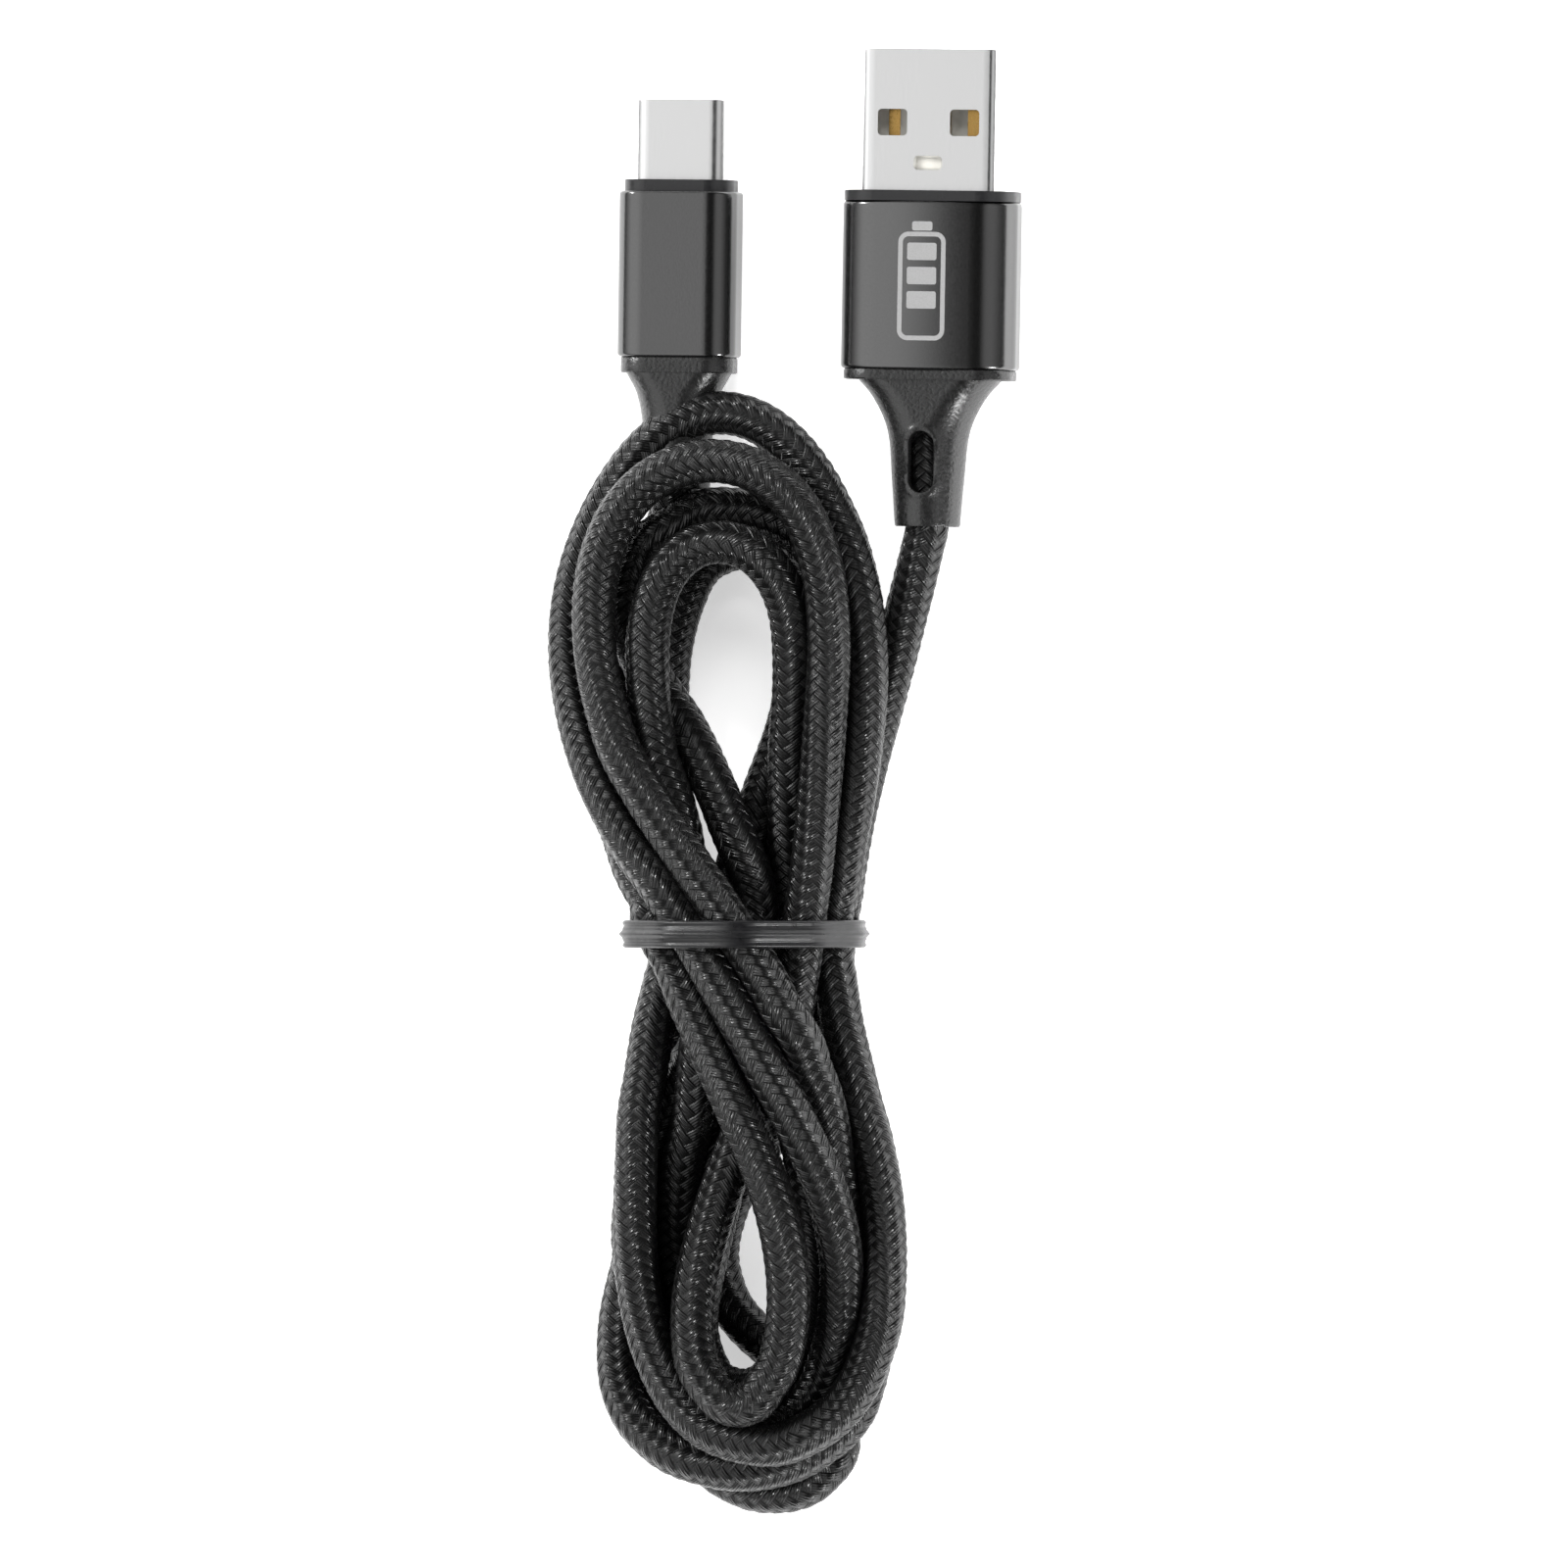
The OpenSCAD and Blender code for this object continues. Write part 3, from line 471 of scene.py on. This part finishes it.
def ground(x):
    """Lowest height of the cord's centre: on the table, or on the tie and its twisted ends where they pass
    under it."""
    band = 0.95 * np.exp(-((x[:, 1] - TIE_Y) / 2.6) ** 4)
    tail = 1.9 * np.exp(-((x[:, 0] + 3) / 1.6) ** 4 - ((x[:, 1] - TIE_Y + 5.2) / 5) ** 4)
    return CORD_R + band + tail


def settled(plan, rounds=700, hold=3):
    """Lets the strands come to rest on each other.

    Each round pulls every point towards its place in the plan, lets it fall, bends the line smooth, eases
    any bend with a radius under TIGHTEST, keeps the steps equal, and moves apart any two strands closer
    than a diameter. The first and last `hold` points stay where they are.
    """
    x = plan.copy()
    n = len(x)
    rest = np.linalg.norm(np.diff(x, axis=0), axis=1).mean()
    across = 0.96 * CORD_D  # strands flatten each other a little where they touch
    push_by = np.array([0.7, 0.7, 1.45])  # a strand lifts off another more easily than it moves aside
    for turn in range(rounds):
        if turn % 15 == 0:
            apart = ((x[:, None] - x[None]) ** 2).sum(2)
            i, j = np.nonzero(np.triu(apart < (across + 1.5) ** 2, 5))
        pull = (plan - x) * [1, 1, 0.06]
        x += 0.12 * (1 - 0.6 * turn / rounds) * pull
        x[:, 2] -= 0.006
        stiffened(x, 0.12, 1)
        stiffened(x, 0.1, 3)
        stiffened(x[:, 2:], 0.3, 2)
        stiffened(x[:, 2:], 0.3, 5)
        for _ in range(2):
            v = np.diff(x, axis=0)
            length = np.linalg.norm(v, axis=1, keepdims=True)
            even = 0.25 * v * (1 - rest / length)
            x[:-1] += even
            x[1:] -= even
        for _ in range(3):
            v = x[i] - x[j]
            length = np.sqrt((v ** 2).sum(1)) + 1e-9
            deep = np.maximum(across - length, 0)
            force = v * (deep / length)[:, None] * push_by
            hit = (deep > 0).astype(float)
            hits = np.bincount(i, hit, n) + np.bincount(j, hit, n)
            push = np.stack([np.bincount(i, force[:, k], n) - np.bincount(j, force[:, k], n)
                             for k in range(3)], 1)
            x += 0.6 * push / np.clip(hits, 1, 3)[:, None]
        for _ in range(6):
            bend = x[:-2] - 2 * x[1:-1] + x[2:]
            tight = np.linalg.norm(bend, axis=1, keepdims=True) * TIGHTEST / STEP ** 2 - 1
            x[1:-1] += 0.3 * np.clip(tight, 0, 1) * bend
        under = np.abs(x[:, 1] - TIE_Y) < 3
        x[under, 0] = np.clip(x[under, 0], -10.7, 4.8)
        x[:, 2] = np.maximum(x[:, 2], ground(x))
        x[:hold] = plan[:hold]
        x[-hold:] = plan[-hold:]
    return x


def cord_line():
    """The cord's centreline from inside the USB-A plug to inside the USB-C plug."""
    layered = [(x, y, CORD_R + (layer - 1) * LAYER) for x, y, layer in STRANDS]
    a_exit = seated(np.array([[0, A_END, 0]]), USB_A)[0]
    c_exit = seated(np.array([[0, C_END, 0]]), USB_C)[0]
    plan = curved([a_exit, *LEAD_A, *layered, *LEAD_C[::-1], c_exit], STEP)
    for _ in range(6):
        plan[1:-1] += 0.25 * (plan[:-2] - 2 * plan[1:-1] + plan[2:])
    free = settled(plan)
    a_inside = seated(np.array([[0, A_STUB, 0]]), USB_A)[0]
    c_inside = seated(np.array([[0, C_STUB, 0]]), USB_C)[0]
    a_stub = evenly(np.array([a_inside, free[0]]), STEP)
    c_stub = evenly(np.array([free[-1], c_inside]), STEP)
    line = np.vstack([a_stub[:-1], free, c_stub[1:]])
    return curved(line, BRAID_PITCH / 3), a_exit


def weave(u, v):
    """Height of the braid from 0 to 1, by the same rule as its material: arches two crossings long."""
    a, b = u + v, u - v
    over = (np.floor(a) + np.floor(b)) % 4 < 2
    t = np.where(over, (np.floor(a) + b) % 4 / 2, (a + np.floor(b)) % 4 / 2 - 1)
    c = np.where(over, a, b) % 1
    return (1 - (2 * t - 1) ** 2) * (1 - (2 * c - 1) ** 4)


def braided(name, line, material, around=32, relief=0.14):
    """A braided tube on a line: rings of radius R + relief (height - 1), turned about the line once in 140 mm,
    with side = tangent x up and top = side x tangent. The UV map counts columns and crossings."""
    n = len(line)
    along = np.arange(n) * np.linalg.norm(np.diff(line, axis=0), axis=1).mean()
    tangent = np.gradient(line, axis=0)
    tangent /= np.linalg.norm(tangent, axis=1, keepdims=True)
    side = np.cross(tangent, [0, 0, 1.0])
    side /= np.linalg.norm(side, axis=1, keepdims=True)
    top = np.cross(side, tangent)
    u = CARRIERS * np.arange(around)[None, :] / around + 0 * along[:, None]
    v = along[:, None] / BRAID_PITCH + 0 * u
    angle = (2 * np.pi * u / CARRIERS + 2 * np.pi * along[:, None] / 140)[..., None]
    radius = CORD_R + relief * (weave(u, v)[..., None] - 1)
    grid = line[:, None] + radius * (np.cos(angle) * side[:, None] + np.sin(angle) * top[:, None])
    points = grid.reshape(-1, 3)
    faces = quads(n, around, False)
    ring_u = np.array([0, 1, 1, 0]) * CARRIERS / around
    ring_v = np.array([0, 0, 1, 1]) * (along[1] / BRAID_PITCH)
    row, column = np.divmod(np.arange(len(faces)), around)
    uv = np.stack([column[:, None] * CARRIERS / around + ring_u, row[:, None] * ring_v[2] + ring_v], -1)
    if volume(points - points.mean(0), faces) < 0:
        faces = faces[:, ::-1]
        uv = uv[:, ::-1]
    caps = [np.arange(around)[::-1].tolist(), ((n - 1) * around + np.arange(around)).tolist()]
    made = piece(name, (points, faces.tolist() + caps), material, 80.0)
    layer = made.data.uv_layers.new(name="braid")
    flat = np.zeros((len(made.data.loops), 2))
    flat[:faces.size] = uv.reshape(-1, 2)
    layer.data.foreach_set("uv", flat.ravel())
    return made


# ---- Cord ----
line, a_exit = cord_line()
cord = braided("braided_cord", line, braid_material())
stands_for(cord, "nylon_braid", "cord_end_a", "cord_lead_a", "cord_hank", "cord_lead_c", "cord_end_c")

# ---- USB-A plug ----
a_shell = piece("usb_a_shell_drawn", skin(*carried(
    tube_rows(12, 4.5, 0.7, 0.3, 0, A_SHELL_END, 0.12), USB_A)), NICKEL)
windows = [punch(2.6, 2.3, 0.35, side * 3.2, 6.4, -4, 4, USB_A) for side in (-1, 1)]
dimple = punch(2.6, 1.3, 0.45, 0, 9.9, 1.93, 2.3, USB_A, 0.2)
cut(a_shell, *windows, dimple)
stands_for(a_shell, "nickel_steel", "usb_a_shell")

a_housing = piece("usb_a_housing_anodised", skin(*carried(
    tube_rows(15.5, 8, 3.2, 0.8, A_FRONT, A_BACK, 0.35), USB_A, crown=0.6)), ANODISED)
stands_for(a_housing, "black_aluminium", "usb_a_housing")


def relief_rows(foot, sections, bore, rear):
    """Rows of a strain relief: a stepped foot, a flare through the sections, a rounded end, and the bore."""
    start, width, height, radius = foot
    rows = [(start, width - 0.2, height - 0.2, radius - 0.1), (start + 0.15, width, height, radius)]
    flare = curved(sections, 0.2)
    rows += [(flare[0, 0] - 0.12, width, height, radius), (flare[0, 0], width - 0.16, height - 0.16, radius)]
    rows += flare[:-1].tolist()
    s, w, h, r = flare[-1]
    rows += [(rear - 0.12, w, h, r), (rear - 0.03, w - 0.1, h - 0.1, r - 0.05)]
    rows += [(rear, w - 0.3, h - 0.3, r - 0.15)]
    rows += [(rear, bore, bore, bore / 2), (rear - 0.3, bore, bore, bore / 2)]
    rows += [(start + 0.3, bore, bore, bore / 2), (start, bore, bore, bore / 2)]
    return rows


SLOT_AT = A_END - 5.6
a_rows = relief_rows(
    (A_BACK, 14.9, 7.4, 2.9),
    [(A_BACK + 0.9, 12.4, 6.72, 3.0), (A_BACK + 2.5, 9.8, 6.5, 3.2), (A_BACK + 5.3, 7.2, 6.45, 3.2),
     (A_BACK + 9.6, 6.3, 6.3, 3.15), (A_BACK + 13.5, 5.7, 5.7, 2.85)],
    CORD_D - 0.02, A_END)
a_grid, close = carried(a_rows, {"mouth": (0, 0, 0), "lean": 0.0}, corner=18)
across, back, up = a_grid[..., 0], -a_grid[..., 1], a_grid[..., 2]
# A raised lip round the slot: a ridge where the distance from its outline is 0.3 mm. The cut below failed
# with a lip of 0.08 or 0.11 mm, so the slot has to be looked at after a change here
away = np.hypot(across, np.maximum(np.abs(back - SLOT_AT) - 1.55, 0)) - 1.15
lip = 0.16 * np.exp(-((away - 0.3) / 0.22) ** 2) * (np.abs(up) > 2.4)
a_grid = seated(np.stack([across, back, up + lip * np.sign(up)], -1), USB_A)
a_relief = piece("usb_a_relief_moulded", skin(a_grid, close), ELASTOMER)
cut(a_relief, punch(2.3, 5.4, 1.15, 0, SLOT_AT, -6, 6, USB_A))
stands_for(a_relief, "black_tpe", "usb_a_strain_relief")

# A plain battery with level bars in place of any maker's sign
bars = [punch(2.6, 1.5, 0.2, 0, 17.6 + 2.1 * k, 3.98, 4.012, USB_A) for k in range(3)]
case = punch(4.2, 9.4, 0.9, 0, 20.6, 3.98, 4.012, USB_A)
cut(case, punch(3.4, 8.6, 0.5, 0, 20.6, 3.9, 4.1, USB_A))
cap = punch(1.8, 0.8, 0.2, 0, 15.4, 3.98, 4.012, USB_A)
for k, part in enumerate([case, cap, *bars]):
    part.name = f"usb_a_battery_mark_{k + 1}"
    part.data.materials.clear()
    part.data.materials.append(LASERED)
    stands_for(part, "black_aluminium")

# ---- USB-C plug ----
c_shell = piece("usb_c_shell_drawn", skin(*carried(
    tube_rows(8.25, 2.4, 1.19, 0.25, 0, C_SHELL_END, 0.12), USB_C)), NICKEL)
stands_for(c_shell, "nickel_steel", "usb_c_shell")

c_housing = piece("usb_c_housing_anodised", skin(*carried(
    tube_rows(10.5, 6.5, 2.3, 0.7, C_FRONT, C_BACK, 0.3), USB_C)), ANODISED)
stands_for(c_housing, "black_aluminium", "usb_c_housing")

c_rows = relief_rows(
    (C_BACK, 10, 6.1, 2.4),
    [(C_BACK + 1.4, 9.1, 5.98, 2.6), (C_BACK + 3.2, 7.3, 5.9, 2.9), (C_BACK + 6, 6.2, 6.0, 3.0),
     (C_BACK + 11.4, 5.7, 5.7, 2.85)],
    CORD_D - 0.02, C_END)
c_relief = piece("usb_c_relief_moulded", skin(*carried(c_rows, USB_C, corner=18)), ELASTOMER)
stands_for(c_relief, "black_tpe", "usb_c_strain_relief")


# ---- Twist tie ----
def tie_loop(cord_points, off):
    """A closed line round the strands at the tie, `off` mm away from them.

    The support of the strands in direction p is their furthest reach that way plus a radius. The hull's
    radius in direction q about the middle is the least support / cos(q - p).
    """
    near = cord_points[np.abs(cord_points[:, 1] - TIE_Y) < TIE_WIDE / 2]
    middle = (near.min(0) + near.max(0)) / 2
    turn = np.linspace(0, 2 * np.pi, 360, endpoint=False)
    way = np.stack([np.cos(turn), np.sin(turn)], 1)
    reach = ((near - middle)[:, [0, 2]] @ way.T).max(0) + CORD_R + off
    facing = np.cos(turn[:, None] - turn[None])
    radius = np.where(facing > 0.05, reach[None] / np.maximum(facing, 0.05), 1e9).min(1)
    for _ in range(40):
        radius = (np.roll(radius, 1) + 2 * radius + np.roll(radius, -1)) / 4
    loop = np.stack([middle[0] + radius * way[:, 0], np.full(360, TIE_Y), middle[2] + radius * way[:, 1]], 1)
    return evenly(np.vstack([loop, loop[:1]]), 0.4)[:-1]


def swept(loop, profile):
    """Carries a closed profile of (along y, outwards) round a closed line in an upright plane: outwards is
    the line's direction x y."""
    ahead = np.roll(loop, -1, 0) - np.roll(loop, 1, 0)
    ahead /= np.linalg.norm(ahead, axis=1, keepdims=True)
    out = np.cross([0, 1.0, 0], ahead)
    out *= np.sign(((loop - loop.mean(0)) * out).sum())
    return loop[:, None] + profile[None, :, :1] * np.array([0, 1.0, 0]) + profile[None, :, 1:] * out[:, None]


loop = tie_loop(line, 0.5)
# Sleeve: a thin web with a raised core over the wire and three draw ribs on each side
across = np.linspace(-TIE_WIDE / 2, TIE_WIDE / 2, 41)
rim = np.clip((TIE_WIDE / 2 - np.abs(across)) / 0.12, 0, 1) ** 0.5
face = (0.16 + 0.3 * np.exp(-(across / 0.34) ** 4) + 0.05 * np.cos(across * 2 * np.pi / 0.48)) * rim
profile = np.vstack([np.stack([across, face], 1), np.stack([across[::-1], -0.3 * rim[::-1]], 1)[1:-1]])
sleeve = skin(swept(loop, profile), True)
# Twisted ends, laid under the hank: a two-lobed section that turns once in 3.2 mm
turn = np.linspace(0, 2 * np.pi, 32, endpoint=False)
back = np.linspace(0, TIE_TAIL, 60)[:, None]
spin = turn[None] + 2 * np.pi * back / 3.2
lobes = (0.5 + 0.45 * np.abs(np.cos(turn[None]))) * np.sqrt(np.clip((TIE_TAIL - back) / 0.5, 0.3, 1))
tail = np.stack([-3 + lobes * np.cos(spin), TIE_Y - 1.2 - back + 0 * spin, 1.0 + lobes * np.sin(spin)], -1)
tie = piece("tie_sleeve_extruded", join(sleeve, skin(tail)), TIE_PVC)
stands_for(tie, "tie_pvc", "tie_sleeve")

round_wire = 0.2 * np.stack([np.cos(turn), np.sin(turn)], 1)
core = piece("tie_core_wire", skin(swept(loop, round_wire), True), TIE_STEEL)
stands_for(core, "tie_steel", "tie_wire")

# ---- Finishes of the nodes that stay ----
FINISHES = {
    "usb_a_insulator": PBT_WHITE, "usb_a_solder": SOLDER, "usb_a_inner_mould": POLYPROPYLENE,
    "usb_c_insulator": LCP_DARK, "usb_c_upper_contacts": GOLD, "usb_c_lower_contacts": GOLD,
    "usb_c_latch": SPRING, "usb_c_ground_springs": SPRING, "usb_c_board": BOARD, "usb_c_resistor": CHIP,
    "usb_c_solder": SOLDER, "usb_c_inner_mould": POLYPROPYLENE,
}
FINISHES.update({f"usb_a_contact_{k}": GOLD for k in (1, 2, 3, 4)})
FINISHES.update({f"usb_{plug}_wire_{k}": WIRES[key] for plug in "ac"
                 for k, key in enumerate(("red", "white", "green", "black"), 1)})
for name, finish in FINISHES.items():
    nodes[name].data.materials.clear()
    nodes[name].data.materials.append(finish)

# ---- Floor, light and camera ----
# A sheet of opal acrylic that is lit from below, so that shadows on it stay pale
white, _, white_shader = finish_of("opal_acrylic_table", "#f4f4f4", 0.7)
white_shader.inputs["Emission Color"].default_value = (1, 1, 1, 1)
white_shader.inputs["Emission Strength"].default_value = 0.55
FLOOR_HALF = 1.5  # metres
CORNERS = [(-1, -1), (1, -1), (1, 1), (-1, 1)]
floor_mesh = bpy.data.meshes.new("table")
floor_mesh.from_pydata([(x * FLOOR_HALF, y * FLOOR_HALF, 0) for x, y in CORNERS], [], [(0, 1, 2, 3)])
floor_mesh.materials.append(white)
floor = bpy.data.objects.new("table", floor_mesh)
bpy.context.scene.collection.objects.link(floor)


def soft_box(name, place, aim, wide, power, reflected=False):
    """A square area light that faces a point: its local -Z runs from the place to the aim. Most light only
    the table and the dull surfaces, and glossy ones reflect the white screens of the world."""
    lamp = bpy.data.lights.new(name, "AREA")
    lamp.shape = "SQUARE"
    lamp.size = wide
    lamp.energy = power
    made = bpy.data.objects.new(name, lamp)
    made.location = place
    made.rotation_euler = (Vector(aim) - Vector(place)).to_track_quat("-Z", "Y").to_euler()
    made.visible_glossy = reflected
    bpy.context.scene.collection.objects.link(made)


soft_box("key_left", (-0.6, 0.12, 0.45), (0, 0, 0), 0.3, 5.0)
soft_box("fill_right", (0.6, -0.1, 0.2), (0, 0, 0), 0.4, 7.0)
soft_box("overhead", (0.12, 0.6, 0.6), (0, 0, 0), 0.4, 5.0)
soft_box("glint_back", (-0.55, 0.45, 0.36), (0, 0, 0), 0.16, 3.0, reflected=True)
soft_box("glint_front", (0.55, -0.45, 0.3), (0, 0, 0), 0.16, 3.0, reflected=True)

world = bpy.data.worlds.new("studio")
world.use_nodes = True
sky = world.node_tree
# A white screen fills the upper left and ends a little left of overhead. A dimmer one stands on the right
direction = add(sky, "SeparateXYZ", {0: add(sky, "TexCoord").outputs["Generated"]})
left = add(sky, "MapRange", {"Value": direction.outputs[0], "From Min": -0.3, "From Max": -0.06,
                             "To Min": 1.4, "To Max": 0.05}, interpolation_type="SMOOTHSTEP")
above = add(sky, "MapRange", {"Value": direction.outputs[2], "From Min": 0.1, "From Max": 0.6,
                              "To Min": 0.1, "To Max": 1.0})
right = add(sky, "MapRange", {"Value": direction.outputs[0], "From Min": 0.3, "From Max": 0.6,
                              "To Min": 0.0, "To Max": 0.6}, interpolation_type="SMOOTHSTEP")
screens = add(sky, "Math", {0: left.outputs[0], 1: right.outputs[0]}, operation="ADD")
both = add(sky, "Math", {0: screens.outputs[0], 1: above.outputs[0]}, operation="MULTIPLY")
sky.nodes["Background"].inputs["Color"].default_value = (1, 1, 1, 1)
sky.links.new(both.outputs[0], sky.nodes["Background"].inputs["Strength"])
bpy.context.scene.view_settings.view_transform = "Standard"
bpy.context.scene.world = world

lens = bpy.data.cameras.new("camera")
lens.lens = 600
lens.sensor_width = 36
DISTANCE = 2.273  # metres, from the aim to the camera
AIM = Vector((-0.0009, 0, 0))
camera = bpy.data.objects.new("camera", lens)
tilt = math.radians(13)
across = Vector((math.cos(tilt), 0, -math.sin(tilt)))
ahead = Vector((0, 1, 0))
toward = Vector((math.sin(tilt), 0, math.cos(tilt)))
camera.matrix_world = Matrix.Translation(AIM + DISTANCE * toward) @ Matrix(
    (across, ahead, toward)).transposed().to_4x4()
bpy.context.scene.collection.objects.link(camera)
bpy.context.scene.camera = camera
